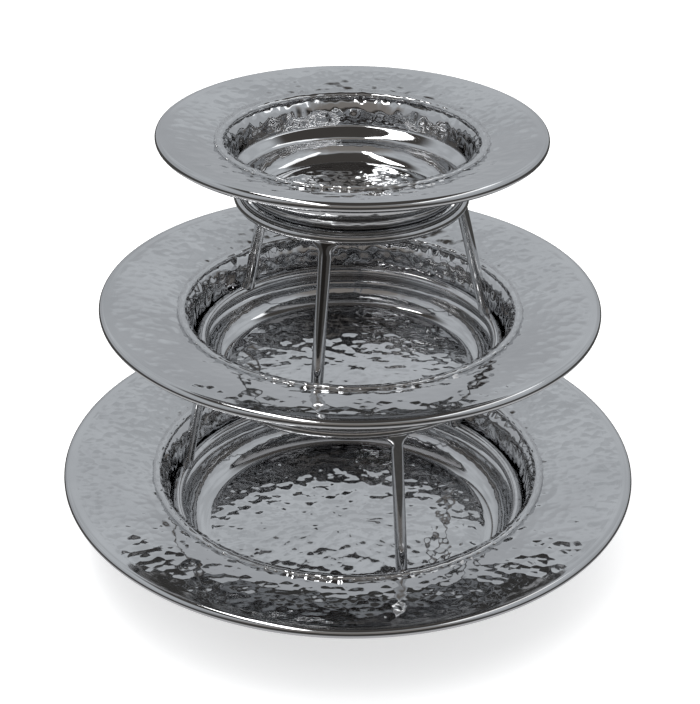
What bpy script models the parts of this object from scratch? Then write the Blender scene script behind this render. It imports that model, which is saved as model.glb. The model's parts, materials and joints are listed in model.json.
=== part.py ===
"""Three-tier set of wide-rim hammered plates carried by two welded wire stands.

Each plate is one steel sheet with a wired edge, a broad rim and a stepped well. A stand drops into
a plate's well, where its foot ring sits on the step, and its top ring carries the rounded foot of
the plate above. Metres, +Z up, origin at the centre of the bottom plate's underside.
"""

import math
from collections import namedtuple

import bmesh
import bpy
from mathutils import Matrix, Vector

# ---------------------------------------------------------------- driving dimensions
# A plate's sizes are those of its upper face, listed from the rim inwards.
#   rim_radius    outside, over the bead            well_radius    corner of rim and upper wall
#   lip_drop      bead's centre to that corner      upper_wall     height down to the step
#   lower_wall    height from the step's inner edge to the floor
#   lower_lean    how far the lower wall leans in   foot_rounding  radius between it and the floor
#   rim_slope     degrees that the crowned rim still climbs where it runs into the bead
Plate = namedtuple(
    "Plate",
    "rim_radius well_radius lip_drop upper_wall lower_wall lower_lean foot_rounding rim_slope",
)
BOTTOM_PLATE = Plate(0.1500, 0.0970, 0.0060, 0.0195, 0.0146, 0.0012, 0.0140, 3.0)
MIDDLE_PLATE = Plate(0.1255, 0.0803, 0.0060, 0.0181, 0.0110, 0.0013, 0.0120, 4.0)
TOP_PLATE = Plate(0.0935, 0.0591, 0.0045, 0.0143, 0.0113, 0.0004, 0.0083, 8.0)

SHEET = 0.0012  # sheet thickness of the plates
BEAD_RADIUS = 0.0026  # wired edge of the plates
RIM_CROWNING = 0.1500  # radius across the middle of the rim, where its two slopes meet
LIP_ROUNDING = 0.0075
WALL_LEAN = 0.0016  # how far the upper wall leans in, down to the step
STEP_WIDTH = 0.0062  # the sloping step that a foot ring sits on
STEP_FALL = 0.0039  # how far the step falls across its width
STEP_ROUNDING = 0.0020  # nose of the step
CORNER_ROUNDING = 0.0014  # between the wall and the step
LONGEST_ROUNDING = 0.98  # share of a stretch's length that its two roundings may take up

ROD_RADIUS = 0.0030  # round rod of rings and legs
LOWER_STAND_HEIGHT = 0.0836  # between the centre lines of its rings
UPPER_STAND_HEIGHT = 0.0785
LOWER_STAND_TURN = math.radians(17.5)  # its first leg, from the front (-Y) towards +X
UPPER_STAND_TURN = math.radians(-12.0)
LEGS = 3
WELD_SPREAD = 0.0026  # how much wider a leg is, each way, where its weld meets a ring
WELD_LENGTH = 0.0065

SEAT_ANGLE = math.radians(27)  # where a top ring touches a plate's foot, below the horizontal
RING_CLEARANCE = 0.0006  # a foot ring drops into its well with this much play all round
GAP = 0.0003  # left between pieces that touch

SEGMENTS = 36  # round every turned piece and ring
ROD_SIDES = 8
LEG_SIDES = 12
BEAD_STEPS = 7
ROUND_STEPS = 4  # in a large rounding of the profile
CORNER_STEPS = 1  # in a small one
CROWN_STEPS = 3

STEEL = (0.62, 0.63, 0.64, 1.0)


# ---------------------------------------------------------------- scene helpers
def clear_scene():
    for obj in list(bpy.data.objects):
        bpy.data.objects.remove(obj, do_unlink=True)


def polished_steel(name, roughness):
    material = bpy.data.materials.new(name)
    material.use_nodes = True
    shader = material.node_tree.nodes["Principled BSDF"]
    shader.inputs["Base Color"].default_value = STEEL
    shader.inputs["Metallic"].default_value = 1.0
    shader.inputs["Roughness"].default_value = roughness
    return material


def add_object(name, mesh, material, parent=None):
    obj = bpy.data.objects.new(name, mesh)
    bpy.context.scene.collection.objects.link(obj)
    mesh.materials.append(material)
    mesh.shade_smooth()
    mesh.set_sharp_from_angle(angle=math.radians(40))
    obj.parent = parent
    return obj


def add_axis(name, height, turn=0.0):
    """An empty on the common axis: the place of a body, and of the joint that moves it."""
    empty = bpy.data.objects.new(name, None)
    bpy.context.scene.collection.objects.link(empty)
    empty.location = (0, 0, height)
    empty.rotation_euler = (0, 0, turn)
    return empty


# ---------------------------------------------------------------- plate profile
def half_angle(before, corner, after):
    return (before - corner).angle(after - corner) / 2


def arc_centre(before, corner, after, radius):
    inwards = (before - corner).normalized() + (after - corner).normalized()
    return corner + inwards.normalized() * radius / math.sin(half_angle(before, corner, after))


def round_corner(before, corner, after, radius, steps):
    """Points of the arc that rounds a corner of the profile."""
    centre = arc_centre(before, corner, after, radius)
    tangent = radius / math.tan(half_angle(before, corner, after))
    start = corner + (before - corner).normalized() * tangent - centre
    end = corner + (after - corner).normalized() * tangent - centre
    sweep = start.angle_signed(end)  # positive clockwise
    return [centre + Matrix.Rotation(-sweep * step / steps, 2) @ start for step in range(steps + 1)]


def corners_of(plate):
    """Sharp corners of the upper face, from the axis outwards, as (radius, height)."""
    lip = Vector((plate.well_radius, -plate.lip_drop))
    step = lip - Vector((WALL_LEAN, plate.upper_wall))
    step_edge = step - Vector((STEP_WIDTH, STEP_FALL))
    foot = step_edge - Vector((plate.lower_lean, plate.lower_wall))
    slope = math.radians(plate.rim_slope)
    rim_edge = Vector((plate.rim_radius - BEAD_RADIUS, 0))
    rim_edge += Vector((-math.sin(slope), math.cos(slope))) * BEAD_RADIUS
    half_rim = (rim_edge.x - lip.x) / 2
    crest = rim_edge - Vector((half_rim, half_rim * math.tan(slope)))
    return [Vector((0, foot.y)), foot, step_edge, step, lip, crest, rim_edge]


def roundings_of(plate):
    """Radius at each inner corner, cut back where roundings would not fit on a stretch."""
    corners = corners_of(plate)
    radii = [plate.foot_rounding, STEP_ROUNDING, CORNER_ROUNDING, LIP_ROUNDING, RIM_CROWNING]
    tangents = [
        radius / math.tan(half_angle(*corners[i : i + 3])) for i, radius in enumerate(radii)
    ]
    taken = [0.0] + tangents + [0.0]
    share = [1.0] * len(corners)
    for i in range(len(corners) - 1):
        room = LONGEST_ROUNDING * (corners[i + 1] - corners[i]).length
        fits = room / (taken[i] + taken[i + 1])
        share[i] = min(share[i], fits)
        share[i + 1] = min(share[i + 1], fits)
    return [radius * part for radius, part in zip(radii, share[1:])]


def upper_face(plate):
    """The upper face as one line of points from the axis to the bead."""
    corners = corners_of(plate)
    steps = (ROUND_STEPS, CORNER_STEPS, CORNER_STEPS, ROUND_STEPS, CROWN_STEPS)
    points = [corners[0]]
    for i, radius in enumerate(roundings_of(plate)):
        points += round_corner(*corners[i : i + 3], radius, steps[i])
    return points + [corners[-1]]


def lower_face(points):
    """The same line moved down by the sheet's thickness, square to the sheet."""
    moved = []
    for index, point in enumerate(points):
        back = points[index] - points[max(index - 1, 0)]
        ahead = points[min(index + 1, len(points) - 1)] - points[index]
        sides = [side.normalized() for side in (back, ahead) if side.length > 0]
        along = sum(sides, Vector((0, 0))).normalized()
        down = Vector((along.y, -along.x))
        spread = abs(along.dot(sides[0]))
        moved.append(point + down * SHEET / spread)
    moved[0].x = 0
    return moved


def bead_arc(plate, start, end):
    """The wired edge, over the top from the rim's upper face and back to its lower face."""
    centre = Vector((plate.rim_radius - BEAD_RADIUS, 0))
    first = math.atan2(start.y, start.x - centre.x)
    last = math.atan2(end.y, end.x - centre.x)
    sweep = (first - last) % math.tau
    arc = []
    for step in range(1, BEAD_STEPS):
        angle = first - sweep * step / BEAD_STEPS
        arc.append(centre + Vector((math.cos(angle), math.sin(angle))) * BEAD_RADIUS)
    return arc


def plate_mesh(name, plate):
    """The profile turned round the axis with the spin operator."""
    upper = upper_face(plate)
    lower = lower_face(upper)
    # The rim's underside ends on the bead's circle.
    lower[-1].x = plate.rim_radius - BEAD_RADIUS - math.sqrt(BEAD_RADIUS**2 - lower[-1].y ** 2)
    profile = upper + bead_arc(plate, upper[-1], lower[-1]) + lower[::-1]
    # The bead's points move out a little, so that its facets reach the true outside radius.
    widest = max(point.x for point in profile)
    for point in profile[len(upper) : -len(lower)]:
        point.x += plate.rim_radius - widest
    bm = bmesh.new()
    verts = [bm.verts.new((point.x, 0, point.y)) for point in profile]
    edges = [bm.edges.new(pair) for pair in zip(verts, verts[1:])]
    bmesh.ops.spin(
        bm,
        geom=verts + edges,
        cent=(0, 0, 0),
        axis=(0, 0, 1),
        angle=math.tau,
        steps=SEGMENTS,
        use_merge=True,
    )
    bmesh.ops.remove_doubles(bm, verts=bm.verts, dist=1e-6)
    bmesh.ops.recalc_face_normals(bm, faces=bm.faces)
    mesh = bpy.data.meshes.new(name)
    bm.to_mesh(mesh)
    bm.free()
    return mesh


def add_plate(name, plate, height):
    """A plate whose bead's centre is at this height."""
    obj = add_object(name, plate_mesh(name, plate), polished_steel(name + "_steel", 0.08))
    obj.location.z = height
    return obj


# ---------------------------------------------------------------- where pieces rest
def foot_ring_place(plate):
    """Radius and height, from the bead's centre, of a foot ring that sits in this plate's well."""
    step = corners_of(plate)[3]
    inset = RING_CLEARANCE + ROD_RADIUS
    slope = math.atan2(STEP_FALL, STEP_WIDTH)
    height = step.y - inset * math.tan(slope) + (ROD_RADIUS + GAP) / math.cos(slope)
    return step.x - inset, height


def top_ring_place(plate):
    """Radius and height, from the bead's centre, of a top ring that carries this plate's foot."""
    rounding = roundings_of(plate)[0]
    centre = arc_centre(*corners_of(plate)[:3], rounding)
    reach = rounding + SHEET + GAP + ROD_RADIUS
    return (
        centre.x + reach * math.cos(SEAT_ANGLE),
        centre.y - reach * math.sin(SEAT_ANGLE),
    )


# ---------------------------------------------------------------- wire stands
def torus_mesh(name, radius, rod_radius):
    bm = bmesh.new()
    verts = []
    for side in range(ROD_SIDES):
        angle = math.tau * side / ROD_SIDES
        # The first section lies on -Y, where the first leg stands.
        verts.append(
            bm.verts.new((0, -radius - rod_radius * math.cos(angle), rod_radius * math.sin(angle)))
        )
    edges = [bm.edges.new((verts[i - 1], verts[i])) for i in range(ROD_SIDES)]
    bmesh.ops.spin(
        bm,
        geom=verts + edges,
        cent=(0, 0, 0),
        axis=(0, 0, 1),
        angle=math.tau,
        steps=SEGMENTS,
        use_merge=True,
    )
    bmesh.ops.remove_doubles(bm, verts=bm.verts, dist=1e-6)
    bmesh.ops.recalc_face_normals(bm, faces=bm.faces)
    mesh = bpy.data.meshes.new(name)
    bm.to_mesh(mesh)
    bm.free()
    return mesh


def add_ring(name, radius, height, axis):
    ring = add_object(name, torus_mesh(name, radius, ROD_RADIUS), polished_steel(name + "_steel", 0.1), axis)
    ring.location.z = height
    return ring


def add_cope_cutter(name, radius, height, axis):
    """A ring fatter than the real one by the gap, which copes the ends of the legs."""
    mesh = torus_mesh(name, radius, ROD_RADIUS + GAP)
    cutter = bpy.data.objects.new(name, mesh)
    bpy.context.scene.collection.objects.link(cutter)
    cutter.parent = axis
    cutter.location.z = height
    cutter.hide_render = True
    cutter.display_type = "WIRE"
    return cutter


def leg_sections(length):
    """(distance along the leg, half width along the ring, half depth) of each cross-section."""
    one_end = [
        (share * ROD_RADIUS, ROD_RADIUS + WELD_SPREAD, ROD_RADIUS * (0.4 + 0.6 * share))
        for share in (0.0, 0.5, 1.0)
    ]
    for share in (0.25, 0.5, 0.75, 1.0):
        width = ROD_RADIUS + WELD_SPREAD * (1 - share) ** 2
        one_end.append((ROD_RADIUS + share * WELD_LENGTH, width, ROD_RADIUS))
    other_end = [(length - place, width, depth) for place, width, depth in reversed(one_end)]
    return one_end + other_end


def leg_mesh(name, foot, head, along_ring):
    """A round rod from foot to head whose ends widen into their welds."""
    axis = (head - foot).normalized()
    square = axis.cross(along_ring).normalized()
    bm = bmesh.new()
    loops = []
    for place, width, depth in leg_sections((head - foot).length):
        centre = foot + axis * place
        loop = []
        for side in range(LEG_SIDES):
            angle = math.tau * side / LEG_SIDES
            offset = along_ring * width * math.cos(angle) + square * depth * math.sin(angle)
            loop.append(bm.verts.new(centre + offset))
        loops.append(loop)
    for low, high in zip(loops, loops[1:]):
        for i in range(LEG_SIDES):
            bm.faces.new((low[i - 1], low[i], high[i], high[i - 1]))
    bm.faces.new(loops[0])
    bm.faces.new(loops[-1])
    bmesh.ops.recalc_face_normals(bm, faces=bm.faces)
    mesh = bpy.data.meshes.new(name)
    bm.to_mesh(mesh)
    bm.free()
    return mesh


def add_leg(name, turn, foot_ring, top_ring, cutters, axis):
    """A leg butted between the rings; foot_ring and top_ring are (radius, height) pairs."""
    outward = Vector((math.sin(turn), -math.cos(turn), 0))
    along_ring = Vector((math.cos(turn), math.sin(turn), 0))
    foot, head = (outward * radius + Vector((0, 0, height)) for radius, height in (foot_ring, top_ring))
    leg = add_object(
        name, leg_mesh(name, foot, head, along_ring), polished_steel(name + "_steel", 0.1), axis
    )
    for cutter in cutters:
        cope = leg.modifiers.new("cope to " + cutter.name, "BOOLEAN")
        cope.operation = "DIFFERENCE"
        cope.object = cutter
    return leg


def add_stand(name, turn, foot_height, height, foot_radius, top_radius):
    """Rings and legs under one empty on the axis, at the foot ring's centre height."""
    axis = add_axis(name + "_axis", foot_height, turn)
    foot_ring = (foot_radius, 0.0)
    top_ring = (top_radius, height)
    add_ring(name + "_foot_ring", *foot_ring, axis)
    add_ring(name + "_top_ring", *top_ring, axis)
    cutters = [
        add_cope_cutter(name + "_foot_cope", *foot_ring, axis),
        add_cope_cutter(name + "_top_cope", *top_ring, axis),
    ]
    for i in range(LEGS):
        leg_turn = math.tau * i / LEGS
        add_leg(f"{name}_leg_{i + 1}", leg_turn, foot_ring, top_ring, cutters, axis)


# ---------------------------------------------------------------- the set
def add_tier(name, turn, height, below, bead_height, above):
    """A stand in the well of the plate below. Returns the bead height of the plate above."""
    foot_radius, foot_drop = foot_ring_place(below)
    top_radius, top_drop = top_ring_place(above)
    add_stand(name, turn, bead_height + foot_drop, height, foot_radius, top_radius)
    return bead_height + foot_drop + height - top_drop


def main():
    clear_scene()
    bottom_height = SHEET - corners_of(BOTTOM_PLATE)[0].y
    add_plate("bottom_plate", BOTTOM_PLATE, bottom_height)
    middle_height = add_tier(
        "lower_stand", LOWER_STAND_TURN, LOWER_STAND_HEIGHT, BOTTOM_PLATE, bottom_height, MIDDLE_PLATE
    )
    add_plate("middle_plate", MIDDLE_PLATE, middle_height)
    top_height = add_tier(
        "upper_stand", UPPER_STAND_TURN, UPPER_STAND_HEIGHT, MIDDLE_PLATE, middle_height, TOP_PLATE
    )
    add_plate("top_plate", TOP_PLATE, top_height)


if __name__ == "__main__":
    main()
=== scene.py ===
"""Three-tier set of hammered steel plates on welded wire stands: its looks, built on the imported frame.

Metres, +Z up, the front of the set towards -Y. Every piece stands for one node of the frame.
"""

import json
import math

import bpy
from mathutils import Matrix, Vector


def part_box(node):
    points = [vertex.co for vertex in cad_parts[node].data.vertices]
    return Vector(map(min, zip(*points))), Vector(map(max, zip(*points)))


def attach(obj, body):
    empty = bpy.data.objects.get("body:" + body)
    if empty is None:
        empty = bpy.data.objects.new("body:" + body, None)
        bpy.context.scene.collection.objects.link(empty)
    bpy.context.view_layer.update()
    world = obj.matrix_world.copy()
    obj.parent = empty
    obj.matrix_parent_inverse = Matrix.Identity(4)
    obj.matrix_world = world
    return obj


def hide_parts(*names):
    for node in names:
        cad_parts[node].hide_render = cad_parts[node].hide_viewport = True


bl_info = {
    "name": "Tiered hammered plates",
    "version": (1, 0, 0),
    "blender": (4, 5, 0),
    "location": "View3D > Sidebar > Plates",
    "description": "Hammered, polished steel plates with deep wells on welded wire stands",
    "category": "Add Mesh",
}

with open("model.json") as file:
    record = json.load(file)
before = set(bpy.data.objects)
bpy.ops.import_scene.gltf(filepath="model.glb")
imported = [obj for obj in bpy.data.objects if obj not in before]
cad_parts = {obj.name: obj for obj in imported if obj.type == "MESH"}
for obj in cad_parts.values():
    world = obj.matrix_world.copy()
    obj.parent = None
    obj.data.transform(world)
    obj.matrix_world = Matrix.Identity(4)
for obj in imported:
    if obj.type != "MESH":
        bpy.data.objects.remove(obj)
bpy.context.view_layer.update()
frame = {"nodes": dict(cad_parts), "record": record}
PLATES = ("bottom_plate", "middle_plate", "top_plate")
STANDS = ("lower_stand", "upper_stand")
BODIES = {node: body for body, nodes in frame["record"]["behaviour"]["bodies"].items() for node in nodes}

WIRE_PLAY = 0.00003  # kept between a wire and the frame's outline
SAME_POINT = 0.000005  # points closer than this are one
BEAD_STEPS = 24
# Most distance between the points of a plate's profile.
LIP_SPACING = 0.0012
FACE_SPACING = 0.0019
ARC_SPACING = 0.0011
UNDER_SPACING = 0.0034
UNDER_ARC_SPACING = 0.0020
CREST_SPACING = 0.0020
WIDE_ARC = 0.03  # an arc of a larger radius than this is the crest's
CREST_ROUNDED = 0.95  # share of the rim's outer half that the crest's rounding takes
# Where the marks start, end and give way to one another.
MARK_LEVEL = 0.45  # the depth of a mark that stays level with the sheet
LOWER_WALL_MARKS = 0.25  # share of the wall marks' depth on the lower wall
ROLL = (0.007, 0.016)  # from the lip outwards, where wall marks give way to rim marks
BEAD_MARGIN = 0.003
STEP_MARGIN = (0.001, 0.005)
FOOT_MARGIN = (0.002, 0.006)
FLOOR_MARGIN = (0.004, 0.001)
FLOOR_SHARE = 0.85  # share of the foot's rounding that lies outside the floor's marks
# Zones of the surround: by how far a direction points up, and for the front's sides by how far back.
CEILING_EDGE = (0.73, 0.84)
LOW_EDGE = (0.52, 0.30)
FRONT_EDGE = (0.10, 0.26)
FRONT_SIDES = (-0.45, -0.85)
HORIZON = (0.01, -0.05)
NEAR_GROUND_EDGE = (-0.48, -0.62)
# Its soft patches, and how sharply they part.
PATCH_SCALE = 5.0
PATCH_EDGE = (0.35, 0.65)
FLOOR_SIZE = 80
FLOOR_GLOW = 0.55
CAMERA_SHIFT = 0.0007
# Name, place, aim, size and power of each light, and whether the steel mirrors it.
LIGHTS = (
    ("left softbox", (-0.42, -0.38, 1.45), (0.0, -0.38, 0.12), (1.85, 0.20), 8.5, True),
    ("right softbox", (0.85, -0.20, 1.30), (0.0, -0.20, 0.12), (1.60, 0.24), 1.6, True),
    ("floor wash", (0.0, 0.0, 2.6), (0.0, 0.0, 0.0), (2.4, 2.4), 30, False),
)


def three(name, description, sizes):
    """A size that each plate has its own value of: bottom, middle, top."""
    return bpy.props.FloatVectorProperty(
        name=name, description=description, size=3, default=sizes, unit="LENGTH", precision=5
    )


def length(name, description, size):
    return bpy.props.FloatProperty(
        name=name, description=description, default=size, unit="LENGTH", precision=5
    )


def angle(name, description, size):
    return bpy.props.FloatProperty(name=name, description=description, default=size, subtype="ANGLE")


def share(name, description, size):
    return bpy.props.FloatProperty(
        name=name, description=description, default=size, subtype="FACTOR", min=0, max=1
    )


def colour(name, description, rgb):
    return bpy.props.FloatVectorProperty(
        name=name, description=description, size=3, default=rgb, subtype="COLOR", min=0, max=1
    )


# ---------------------------------------------------------------- settings
class PlateSizes(bpy.types.PropertyGroup):
    """Sizes of the plates' upper faces. Drops are measured down from the bead's centre."""

    bead: length("Bead radius", "Radius of the wired edge", 0.0025)
    bead_inset: length("Bead inset", "Play between the bead and the frame's outline", 0.00005)
    sheet: length("Sheet", "Thickness of the sheet", 0.0012)
    outer_slope: bpy.props.FloatVectorProperty(
        name="Outer slope", description="Slope of the rim where it runs into the bead", size=3,
        default=(math.radians(3), math.radians(4), math.radians(8)), unit="ROTATION"
    )
    crest_share: share("Crest", "Where the rim's two slopes meet, from the bead to the lip", 0.5)
    lip_radius: three("Lip radius", "Corner of rim and wall", (0.0970, 0.0803, 0.0591))
    lip_drop: three("Lip drop", "Corner of rim and wall", (0.0060, 0.0060, 0.0045))
    lip_rounding: length("Lip rounding", "Radius between rim and wall", 0.0100)
    wall_radius: three("Wall radius", "Corner of wall and step", (0.0954, 0.0787, 0.0575))
    step_drop: three("Step drop", "Corner of wall and step", (0.0255, 0.0241, 0.0188))
    step_width: length("Step width", "Width of the sloping step", 0.0062)
    step_fall: length("Step fall", "How far the step falls over its width", 0.0039)
    step_rounding: length("Step rounding", "Radius of the step's nose", 0.0030)
    corner_rounding: length("Corner rounding", "Radius between wall and step", 0.0014)
    foot_radius: three("Foot radius", "Corner of wall and floor", (0.0880, 0.0712, 0.0509))
    foot_rounding: three("Foot rounding", "Radius between wall and floor", (0.0137, 0.0104, 0.0098))
    depth: three("Depth", "Floor of the well", (0.0440, 0.0390, 0.0340))


class HammerMarks(bpy.types.PropertyGroup):
    """Size and depth of the hammer's marks on each stretch of a plate."""

    rim_mark: length("Rim mark", "Width of a mark on the rim", 0.0095)
    rim_depth: length("Rim depth", "Depth of a mark on the rim", 0.00046)
    wall_mark: length("Wall mark", "Width of a mark on lip and wall", 0.0050)
    wall_depth: length("Wall depth", "Depth of a mark on lip and wall", 0.00085)
    floor_mark: length("Floor mark", "Width of a mark on the floor", 0.0068)
    floor_depth: length("Floor depth", "Depth of a mark on the floor", 0.00060)
    around: bpy.props.IntVectorProperty(
        name="Around", description="Points round each plate", size=3, default=(440, 420, 340)
    )


class WireSizes(bpy.types.PropertyGroup):
    """Sizes of the stands' wire and welds."""

    top_weld: length("Top weld", "How much wider along the ring a leg gets at its top", 0.0034)
    foot_weld: length("Foot weld", "How much wider along the ring a leg gets at its foot", 0.0014)
    weld_length: length("Weld length", "How far a weld runs up the leg", 0.0060)
    sides: bpy.props.IntProperty(name="Sides", description="Points round the wire", default=28)


class SteelLooks(bpy.types.PropertyGroup):
    """Colours and polish of the steel."""

    plate: colour("Plate steel", "Polished sheet", (0.60, 0.603, 0.61))
    plate_worn: colour("Rubbed steel", "Where polishing left the sheet duller", (0.54, 0.543, 0.55))
    wire: colour("Wire steel", "Polished wire", (0.60, 0.60, 0.605))
    wire_worn: colour("Drawn steel", "Drawing lines in the wire", (0.50, 0.50, 0.505))
    polish: share("Polish", "Least roughness", 0.035)
    haze: share("Haze", "Most roughness", 0.11)


class StageLooks(bpy.types.PropertyGroup):
    """Floor, light and camera."""

    floor: colour("Floor", "Pale floor", (0.90, 0.90, 0.90))
    backdrop: colour("Backdrop", "Grey that surrounds the set", (0.66, 0.69, 0.72))
    backdrop_shade: colour("Backdrop shade", "Darker patches of that grey", (0.54, 0.565, 0.59))
    backdrop_low: colour("Low backdrop", "That grey further down", (0.51, 0.53, 0.555))
    ceiling: colour("Ceiling", "Dark above the lights", (0.075, 0.069, 0.064))
    warm_side: colour("Warm side", "Warm grey stretch that faces the set's front", (0.28, 0.260, 0.242))
    dark_front: colour("Dark front", "Low, dark stretch in front of the set", (0.022, 0.020, 0.018))
    far_ground: colour("Far ground", "Ground that the steel mirrors further away", (0.08, 0.078, 0.075))
    near_ground: colour("Near ground", "Ground that the steel mirrors close by", (0.62, 0.62, 0.63))
    distance: length("Distance", "Camera to the set's axis, level", 0.6579)
    height: length("Height", "Camera over the floor", 0.4726)
    pitch: angle("Pitch", "Camera turned down", 0.5069)
    roll: angle("Roll", "Camera turned about its own axis", 0.013)
    lens: bpy.props.FloatProperty(
        name="Lens", description="Focal length", default=74.66, subtype="DISTANCE_CAMERA"
    )


class PlateSetSettings(bpy.types.PropertyGroup):
    """All settings of the set."""

    plates: bpy.props.PointerProperty(type=PlateSizes)
    marks: bpy.props.PointerProperty(type=HammerMarks)
    wires: bpy.props.PointerProperty(type=WireSizes)
    steel: bpy.props.PointerProperty(type=SteelLooks)
    stage: bpy.props.PointerProperty(type=StageLooks)


def settings():
    return bpy.context.scene.plate_set


# ---------------------------------------------------------------- modelling helpers
def deselect():
    if bpy.context.mode != "OBJECT":
        bpy.ops.object.mode_set(mode="OBJECT")
    bpy.ops.object.select_all(action="DESELECT")


def pick(obj):
    deselect()
    obj.select_set(True)
    bpy.context.view_layer.objects.active = obj


def drawn_line(name, points):
    """A drawn line of points, as a mesh, in the plane of the axis."""
    deselect()
    bpy.ops.curve.primitive_nurbs_path_add(location=(0, 0, 0))
    line = bpy.context.object
    line.name = name
    line.data.splines.clear()
    spline = line.data.splines.new("POLY")
    spline.points.add(len(points) - 1)
    for drawn, point in zip(spline.points, points):
        drawn.co = (point[0], 0, point[1], 1)
    bpy.ops.object.convert(target="MESH")
    return bpy.context.object


def turn_on_axis(obj, around):
    """Spins the drawn line round the common axis and closes it."""
    pick(obj)
    bpy.ops.object.mode_set(mode="EDIT")
    bpy.ops.mesh.select_all(action="SELECT")
    bpy.ops.mesh.spin(steps=around, angle=math.tau, center=(0, 0, 0), axis=(0, 0, 1))
    bpy.ops.mesh.select_all(action="SELECT")
    bpy.ops.mesh.remove_doubles(threshold=SAME_POINT)
    bpy.ops.mesh.normals_make_consistent(inside=False)
    bpy.ops.object.mode_set(mode="OBJECT")


def mark_group(obj, name, weight_at):
    """A vertex group whose weights follow from the radius and height of each point."""
    group = obj.vertex_groups.new(name=name)
    places = [vertex.co for vertex in obj.data.vertices]
    weights = [weight_at(math.hypot(place.x, place.y), place.z) for place in places]
    for index, weight in enumerate(weights):
        if weight > 0:
            group.add([index], weight, "REPLACE")
    if "hammered" not in obj.data.attributes:
        obj.data.attributes.new("hammered", "FLOAT", "POINT")
    for value, weight in zip(obj.data.attributes["hammered"].data, weights):
        value.value = max(value.value, weight)


def hammer(obj, group, mark, depth):
    """Presses overlapping round marks into the stretch that the group names."""
    marks = bpy.data.textures.new(f"{obj.name} {group}", "VORONOI")
    marks.distance_metric = "DISTANCE_SQUARED"
    marks.noise_scale = mark
    dents = obj.modifiers.new(group, "DISPLACE")
    dents.texture = marks
    dents.texture_coords = "LOCAL"
    dents.vertex_group = group
    dents.mid_level = MARK_LEVEL
    dents.strength = depth
    pick(obj)
    bpy.ops.object.modifier_apply(modifier=group)


def finish_piece(obj, node, material):
    """The finished piece takes the node's place and moves with its body."""
    pick(obj)
    bpy.ops.object.transform_apply(location=True, rotation=True, scale=True)
    bpy.ops.object.shade_smooth()
    obj.name = f"{node}_steel"
    obj.data.materials.clear()
    obj.data.materials.append(material)
    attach(obj, BODIES[node])
    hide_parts(node)
    return obj


# ---------------------------------------------------------------- materials
def new_material(name):
    material = bpy.data.materials.new(name)
    material.use_nodes = True
    return material, material.node_tree.nodes, material.node_tree.links


def add_node(nodes, kind, **values):
    """A node with its properties and, by name, its sockets' values."""
    node = nodes.new(kind)
    for name, value in values.items():
        if name in node.inputs:
            node.inputs[name].default_value = value
        else:
            setattr(node, name, value)
    return node


def ramp(nodes, links, source, low, high, start, end):
    """Turns a 0 to 1 factor into a value or colour between two ends."""
    mapped = add_node(nodes, "ShaderNodeValToRGB")
    for element, position, value in zip(mapped.color_ramp.elements, (start, end), (low, high)):
        element.position = position
        element.color = (*value, 1) if hasattr(value, "__len__") else (value, value, value, 1)
    links.new(source, mapped.inputs["Fac"])
    return mapped.outputs["Color"]


def plate_steel():
    """Hammered sheet, mirror polished, with a faint haze, fine dents and polishing lines."""
    looks = settings().steel
    material, nodes, links = new_material("hammered polished steel")
    shader = nodes["Principled BSDF"]
    shader.inputs["Metallic"].default_value = 1.0
    place = add_node(nodes, "ShaderNodeTexCoord").outputs["Object"]

    clouds = add_node(nodes, "ShaderNodeTexNoise", Scale=28.0, Detail=3.0, Roughness=0.55)
    links.new(place, clouds.inputs["Vector"])
    links.new(
        ramp(nodes, links, clouds.outputs["Fac"], looks.plate_worn, looks.plate, 0.30, 0.62),
        shader.inputs["Base Color"],
    )
    rubs = add_node(nodes, "ShaderNodeTexNoise", Scale=160.0, Detail=4.0, Roughness=0.6)
    links.new(place, rubs.inputs["Vector"])
    links.new(
        ramp(nodes, links, rubs.outputs["Fac"], looks.polish, looks.haze, 0.42, 0.85),
        shader.inputs["Roughness"],
    )
    small_marks = add_node(
        nodes, "ShaderNodeTexVoronoi", feature="SMOOTH_F1", Scale=190.0, Smoothness=0.25
    )
    links.new(place, small_marks.inputs["Vector"])
    hammered = add_node(nodes, "ShaderNodeAttribute", attribute_name="hammered")
    pressed = add_node(nodes, "ShaderNodeMath", operation="MULTIPLY")
    links.new(small_marks.outputs["Distance"], pressed.inputs[0])
    links.new(hammered.outputs["Fac"], pressed.inputs[1])
    dents = add_node(nodes, "ShaderNodeBump", Strength=0.6, Distance=0.00045)
    links.new(pressed.outputs["Value"], dents.inputs["Height"])
    grain = add_node(nodes, "ShaderNodeTexNoise", Scale=1400.0, Detail=2.0)
    links.new(place, grain.inputs["Vector"])
    skin = add_node(nodes, "ShaderNodeBump", Strength=0.10, Distance=0.00004)
    links.new(grain.outputs["Fac"], skin.inputs["Height"])
    links.new(dents.outputs["Normal"], skin.inputs["Normal"])
    links.new(skin.outputs["Normal"], shader.inputs["Normal"])
    return material


def wire_steel():
    """Drawn and polished wire with faint lines."""
    looks = settings().steel
    material, nodes, links = new_material("polished steel wire")
    shader = nodes["Principled BSDF"]
    shader.inputs["Metallic"].default_value = 1.0
    place = add_node(nodes, "ShaderNodeTexCoord").outputs["Object"]
    lines = add_node(nodes, "ShaderNodeTexNoise", Scale=340.0, Detail=5.0, Roughness=0.6)
    links.new(place, lines.inputs["Vector"])
    links.new(
        ramp(nodes, links, lines.outputs["Fac"], looks.wire_worn, looks.wire, 0.28, 0.55),
        shader.inputs["Base Color"],
    )
    links.new(
        ramp(nodes, links, lines.outputs["Fac"], looks.haze, looks.polish, 0.30, 0.70),
        shader.inputs["Roughness"],
    )
    dents = add_node(nodes, "ShaderNodeBump", Strength=0.15, Distance=0.00008)
    links.new(lines.outputs["Fac"], dents.inputs["Height"])
    links.new(dents.outputs["Normal"], shader.inputs["Normal"])
    return material


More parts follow.
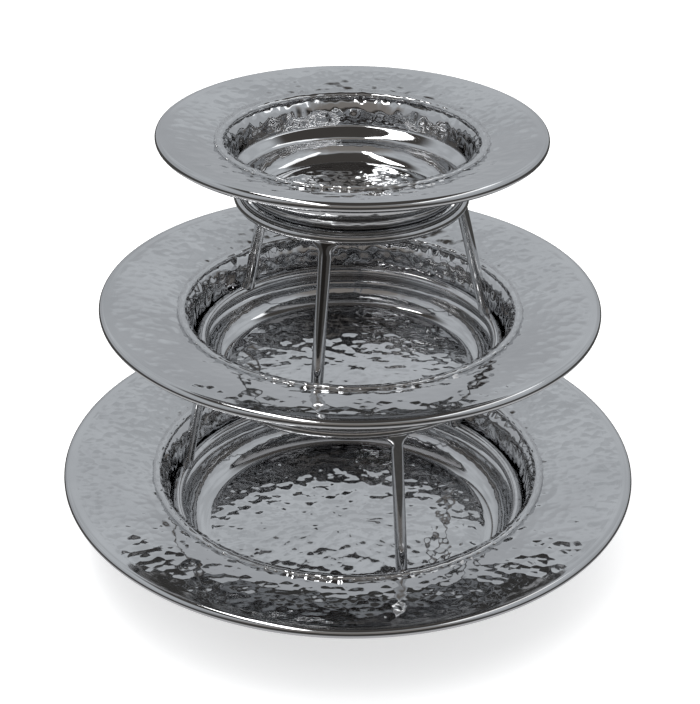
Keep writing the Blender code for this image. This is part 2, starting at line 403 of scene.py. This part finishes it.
# ---------------------------------------------------------------- plates
def rounded(before, corner, after, radius, spacing):
    """Points of the arc that rounds a corner of a profile."""
    one, other = (before - corner).normalized(), (after - corner).normalized()
    half = one.angle(other) / 2
    centre = corner + (one + other).normalized() * radius / math.sin(half)
    start = corner + one * radius / math.tan(half) - centre
    end = corner + other * radius / math.tan(half) - centre
    sweep = start.angle_signed(end)
    steps = max(3, round(radius * abs(sweep) / spacing))
    return [centre + Matrix.Rotation(-sweep * step / steps, 2) @ start for step in range(steps + 1)]


def spaced(points, spacing_at):
    """The same line with points added, so that none are further apart than spacing_at(point)."""
    filled = [points[0]]
    for start, end in zip(points, points[1:]):
        pieces = max(1, math.ceil((end - start).length / spacing_at((start + end) / 2)))
        filled += [start.lerp(end, piece / pieces) for piece in range(1, pieces + 1)]
    return filled


def plate_shape(tier):
    """The upper face's corners and roundings, from the axis to the bead, as (radius, drop)."""
    sizes = settings().plates
    slope = sizes.outer_slope[tier]
    bead_centre = Vector((rim_radius(tier) - sizes.bead, 0))
    rim_edge = bead_centre + Vector((-math.sin(slope), math.cos(slope))) * sizes.bead
    lip = Vector((sizes.lip_radius[tier], -sizes.lip_drop[tier]))
    crest = rim_edge - Vector((1, math.tan(slope))) * (rim_edge.x - lip.x) * sizes.crest_share
    corners = [
        Vector((0, -sizes.depth[tier])),
        Vector((sizes.foot_radius[tier], -sizes.depth[tier])),
        Vector((sizes.wall_radius[tier] - sizes.step_width, -sizes.step_drop[tier] - sizes.step_fall)),
        Vector((sizes.wall_radius[tier], -sizes.step_drop[tier])),
        lip,
        crest,
        rim_edge,
    ]
    bend = (lip - crest).angle(rim_edge - crest)
    crest_rounding = CREST_ROUNDED * (rim_edge - crest).length * math.tan(bend / 2)
    radii = (
        sizes.foot_rounding[tier],
        sizes.step_rounding,
        sizes.corner_rounding,
        sizes.lip_rounding,
        crest_rounding,
    )
    return corners, radii


def rim_radius(tier):
    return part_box(PLATES[tier])[1].x - settings().plates.bead_inset


def face_points(tier, spacing_at, arc_spacing):
    corners, radii = plate_shape(tier)
    line = [corners[0]]
    for i, radius in enumerate(radii):
        spacing = arc_spacing if radius < WIDE_ARC else CREST_SPACING
        line += rounded(*corners[i : i + 3], radius, spacing)
    return spaced(line + [corners[-1]], spacing_at)


def under_face(line, sheet):
    """The line moved down by the sheet's thickness, square to the sheet."""
    moved = []
    for i, point in enumerate(line):
        along = (line[min(i + 1, len(line) - 1)] - line[max(i - 1, 0)]).normalized()
        moved.append(point + Vector((along.y, -along.x)) * sheet)
    moved[0].x = 0
    return moved


def bead_points(tier, start, end):
    """The wired edge, over the top and round to the rim's lower face."""
    sizes = settings().plates
    centre = Vector((rim_radius(tier) - sizes.bead, 0))
    first = math.atan2(start.y, start.x - centre.x)
    sweep = (first - math.atan2(end.y, end.x - centre.x)) % math.tau
    angles = [first - sweep * step / BEAD_STEPS for step in range(1, BEAD_STEPS)]
    return [centre + Vector((math.cos(a), math.sin(a))) * sizes.bead for a in angles]


def bead_height(tier):
    """Height of the bead's centre: the floor of the frame's plate, its sheet and its depth give it."""
    sizes = settings().plates
    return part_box(PLATES[tier])[0].z + sizes.sheet + sizes.depth[tier]


def fade(value, start, end):
    """0 before start, 1 after end, smooth between them."""
    part = min(1.0, max(0.0, (value - start) / (end - start)))
    return part * part * (3 - 2 * part)


def build_plate(tier, material):
    """One plate: its profile is drawn, spun, and its rim, wall and floor are hammered."""
    sizes, marks = settings().plates, settings().marks
    node = PLATES[tier]
    base = Vector((0, bead_height(tier)))
    lip, wall = sizes.lip_radius[tier], sizes.wall_radius[tier]

    def top_spacing(point):
        return LIP_SPACING if wall - 0.002 < point.x < lip + 0.008 else FACE_SPACING

    upper = face_points(tier, top_spacing, ARC_SPACING)
    lower = face_points(tier, lambda point: UNDER_SPACING, UNDER_ARC_SPACING)
    lower = under_face(lower, sizes.sheet)
    lower[-1].x = rim_radius(tier) - sizes.bead - math.sqrt(sizes.bead**2 - lower[-1].y ** 2)
    outline = upper + bead_points(tier, upper[-1], lower[-1]) + lower[::-1]
    plate = drawn_line(node, [point + base for point in outline])
    turn_on_axis(plate, marks.around[tier])

    bead_inner = rim_radius(tier) - 2 * sizes.bead
    floor_edge = sizes.foot_radius[tier] - sizes.foot_rounding[tier] * FLOOR_SHARE
    step_height = base.y - sizes.step_drop[tier]
    roll_start, roll_end = lip + ROLL[0], lip + ROLL[1]
    floor_height = base.y - sizes.depth[tier]

    def on_rim(radius, height):
        near_bead = fade(radius, bead_inner - BEAD_MARGIN, bead_inner)
        return fade(radius, roll_start, roll_end) * (1 - near_bead)

    def on_wall(radius, height):
        if height < step_height - sizes.step_fall:
            above_foot = [floor_height + margin for margin in FOOT_MARGIN]
            return LOWER_WALL_MARKS * fade(height, *above_foot)
        above_step = [step_height + margin for margin in STEP_MARGIN]
        return fade(height, *above_step) * (1 - fade(radius, roll_start, roll_end))

    def on_floor(radius, height):
        if height <= floor_height - sizes.sheet / 2:
            return 0
        return 1 - fade(radius, *(floor_edge - margin for margin in FLOOR_MARGIN))

    for name, weight_at, mark, depth in (
        ("rim marks", on_rim, marks.rim_mark, marks.rim_depth),
        ("wall marks", on_wall, marks.wall_mark, marks.wall_depth),
        ("floor marks", on_floor, marks.floor_mark, marks.floor_depth),
    ):
        mark_group(plate, name, weight_at)
        hammer(plate, name, mark, depth)
    finish_piece(plate, node, material)


class PLATESET_OT_add_plates(bpy.types.Operator):
    """Add the three hammered plates in the frame's places"""

    bl_idname = "plate_set.add_plates"
    bl_label = "Add plates"
    bl_options = {"REGISTER", "UNDO"}

    def execute(self, context):
        material = plate_steel()
        for tier in range(len(PLATES)):
            build_plate(tier, material)
        return {"FINISHED"}


# ---------------------------------------------------------------- stands
def ring_of(node):
    """Centre height, centre-line radius and wire radius of a ring of the frame."""
    low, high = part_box(node)
    wire = (high.z - low.z) / 2
    return (high.z + low.z) / 2, high.x - wire, wire


def build_ring(node, material):
    height, radius, wire = ring_of(node)
    deselect()
    bpy.ops.mesh.primitive_torus_add(
        location=(0, 0, height),
        major_radius=radius,
        minor_radius=wire - WIRE_PLAY,
        major_segments=220,
        minor_segments=settings().wires.sides,
    )
    finish_piece(bpy.context.object, node, material)


def leg_azimuth(node):
    """The leg's direction, from its box: a leg lies in an upright plane through the axis."""
    points = [vertex.co for vertex in frame["nodes"][node].data.vertices]
    middle = sum(points, Vector()) / len(points)
    return math.atan2(middle.y, middle.x)


def build_leg(stand, node, material):
    """A wire from ring to ring that spreads at both ends into its welds."""
    wires = settings().wires
    foot_height, foot_radius, wire = ring_of(f"{stand}_foot_ring")
    top_height, top_radius, _ = ring_of(f"{stand}_top_ring")
    azimuth = leg_azimuth(node)
    outwards = Vector((math.cos(azimuth), math.sin(azimuth), 0))
    foot = outwards * foot_radius + Vector((0, 0, foot_height))
    top = outwards * top_radius + Vector((0, 0, top_height))
    span = (top - foot).length
    slim = wire - WIRE_PLAY

    def radius_at(along):
        near, spread = min((along, wires.foot_weld), (span - along, wires.top_weld))
        close = 1 - fade(near, wire * 0.8, wire + wires.weld_length)
        return slim + spread * close**2

    ends = [wire * 0.5 + (wire * 0.5 + wires.weld_length) * i / 12 for i in range(13)]
    stations = ends + [span / 4, span / 2, span * 3 / 4] + [span - s for s in reversed(ends)]
    side = [Vector((radius_at(station), station)) for station in stations]
    line = [Vector((0, stations[0])), *side, Vector((0, stations[-1]))]
    leg = drawn_line(node, line)
    turn_on_axis(leg, wires.sides)
    for vertex in leg.data.vertices:
        # The weld spreads along the ring only.
        vertex.co.y *= slim / radius_at(vertex.co.z)
    upright = (top - foot).normalized()
    tangent = Vector((-outwards.y, outwards.x, 0))
    turned = Matrix((tangent, upright.cross(tangent), upright)).transposed().to_4x4()
    leg.matrix_world = Matrix.Translation(foot) @ turned
    finish_piece(leg, node, material)


class PLATESET_OT_add_stands(bpy.types.Operator):
    """Add the rings and legs of both wire stands in the frame's places"""

    bl_idname = "plate_set.add_stands"
    bl_label = "Add stands"
    bl_options = {"REGISTER", "UNDO"}

    def execute(self, context):
        material = wire_steel()
        for stand in STANDS:
            for node in sorted(name for name in frame["nodes"] if name.startswith(stand)):
                if "_leg_" in node:
                    build_leg(stand, node, material)
                else:
                    build_ring(node, material)
        return {"FINISHED"}


# ---------------------------------------------------------------- stage
def add_floor():
    deselect()
    bpy.ops.mesh.primitive_plane_add(size=FLOOR_SIZE, location=(0, 0, 0))
    floor = bpy.context.object
    floor.name = "floor"
    material, nodes, _ = new_material("pale floor")
    shader = nodes["Principled BSDF"]
    shader.inputs["Base Color"].default_value = (*settings().stage.floor, 1)
    shader.inputs["Roughness"].default_value = 0.9
    shader.inputs["Specular IOR Level"].default_value = 0.0
    shader.inputs["Emission Color"].default_value = (1, 1, 1, 1)
    shader.inputs["Emission Strength"].default_value = FLOOR_GLOW
    floor.data.materials.append(material)
    floor.visible_glossy = False


def add_surround():
    """Mottled grey under a dark ceiling, with a warm, dim front and ground that is pale near by."""
    looks = settings().stage
    world = bpy.context.scene.world or bpy.data.worlds.new("surround")
    bpy.context.scene.world = world
    world.use_nodes = True
    nodes, links = world.node_tree.nodes, world.node_tree.links
    direction = add_node(nodes, "ShaderNodeTexCoord").outputs["Generated"]
    split = add_node(nodes, "ShaderNodeSeparateXYZ")
    links.new(direction, split.inputs["Vector"])
    patches = add_node(nodes, "ShaderNodeTexNoise", Scale=PATCH_SCALE, Detail=2.0, Roughness=0.5)
    links.new(direction, patches.inputs["Vector"])

    def blend(factor, first, second):
        mixed = add_node(nodes, "ShaderNodeMix", data_type="RGBA")
        links.new(factor, mixed.inputs[0])
        for socket, part in ((mixed.inputs[6], first), (mixed.inputs[7], second)):
            if isinstance(part, bpy.types.NodeSocket):
                links.new(part, socket)
            else:
                socket.default_value = (*part, 1)
        return mixed.outputs[2]

    def between(source, edge):
        start, end = edge
        mapped = add_node(nodes, "ShaderNodeMapRange", interpolation_type="SMOOTHSTEP")
        mapped.inputs["From Min"].default_value = start
        mapped.inputs["From Max"].default_value = end
        links.new(source, mapped.inputs["Value"])
        return mapped.outputs["Result"]

    mottled = blend(between(patches.outputs["Fac"], PATCH_EDGE), looks.backdrop_shade, looks.backdrop)
    mottled = blend(between(split.outputs["Z"], LOW_EDGE), mottled, looks.backdrop_low)
    front = blend(between(split.outputs["Z"], FRONT_EDGE), looks.dark_front, looks.warm_side)
    around = blend(between(split.outputs["Y"], FRONT_SIDES), mottled, front)
    upper = blend(between(split.outputs["Z"], CEILING_EDGE), around, looks.ceiling)
    ground = blend(between(split.outputs["Z"], NEAR_GROUND_EDGE), looks.far_ground, looks.near_ground)
    whole = blend(between(split.outputs["Z"], HORIZON), upper, ground)
    links.new(whole, nodes["Background"].inputs["Color"])


def add_light(name, place, aim, size, power, mirrored):
    deselect()
    bpy.ops.object.light_add(type="AREA", location=place)
    light = bpy.context.object
    light.name = name
    light.rotation_euler = (Vector(aim) - Vector(place)).to_track_quat("-Z", "Y").to_euler()
    light.data.shape = "RECTANGLE"
    light.data.size, light.data.size_y = size
    light.data.energy = power
    light.visible_glossy = mirrored
    light.visible_camera = False


def add_lights():
    for light in LIGHTS:
        add_light(*light)


def add_camera():
    looks = settings().stage
    data = bpy.data.cameras.new("camera")
    camera = bpy.data.objects.new("camera", data)
    bpy.context.scene.collection.objects.link(camera)
    data.lens = looks.lens
    data.sensor_width = 36
    data.shift_x = CAMERA_SHIFT
    data.clip_start, data.clip_end = 0.01, 100
    place = Matrix.Translation((0, -looks.distance, looks.height))
    down = Matrix.Rotation(math.pi / 2 - looks.pitch, 4, "X")
    camera.matrix_world = place @ down @ Matrix.Rotation(looks.roll, 4, "Z")
    bpy.context.scene.camera = camera


class PLATESET_OT_add_stage(bpy.types.Operator):
    """Add the pale floor, the soft lights and the camera"""

    bl_idname = "plate_set.add_stage"
    bl_label = "Add stage"
    bl_options = {"REGISTER", "UNDO"}

    def execute(self, context):
        context.scene.view_settings.view_transform = "Standard"
        add_floor()
        add_surround()
        add_lights()
        add_camera()
        return {"FINISHED"}


# ---------------------------------------------------------------- panel and run
class PLATESET_PT_panel(bpy.types.Panel):
    bl_label = "Tiered plates"
    bl_idname = "PLATESET_PT_panel"
    bl_space_type = "VIEW_3D"
    bl_region_type = "UI"
    bl_category = "Plates"

    def draw(self, context):
        for operator in OPERATORS:
            self.layout.operator(operator.bl_idname)


OPERATORS = (PLATESET_OT_add_plates, PLATESET_OT_add_stands, PLATESET_OT_add_stage)
SETTINGS = (PlateSizes, HammerMarks, WireSizes, SteelLooks, StageLooks, PlateSetSettings)
CLASSES = (*SETTINGS, *OPERATORS, PLATESET_PT_panel)


def register():
    for each in CLASSES:
        bpy.utils.register_class(each)
    bpy.types.Scene.plate_set = bpy.props.PointerProperty(type=PlateSetSettings)


def unregister():
    del bpy.types.Scene.plate_set
    for each in reversed(CLASSES):
        bpy.utils.unregister_class(each)


def main():
    register()
    bpy.ops.plate_set.add_plates()
    bpy.ops.plate_set.add_stands()
    bpy.ops.plate_set.add_stage()


if __name__ == "__main__":
    main()
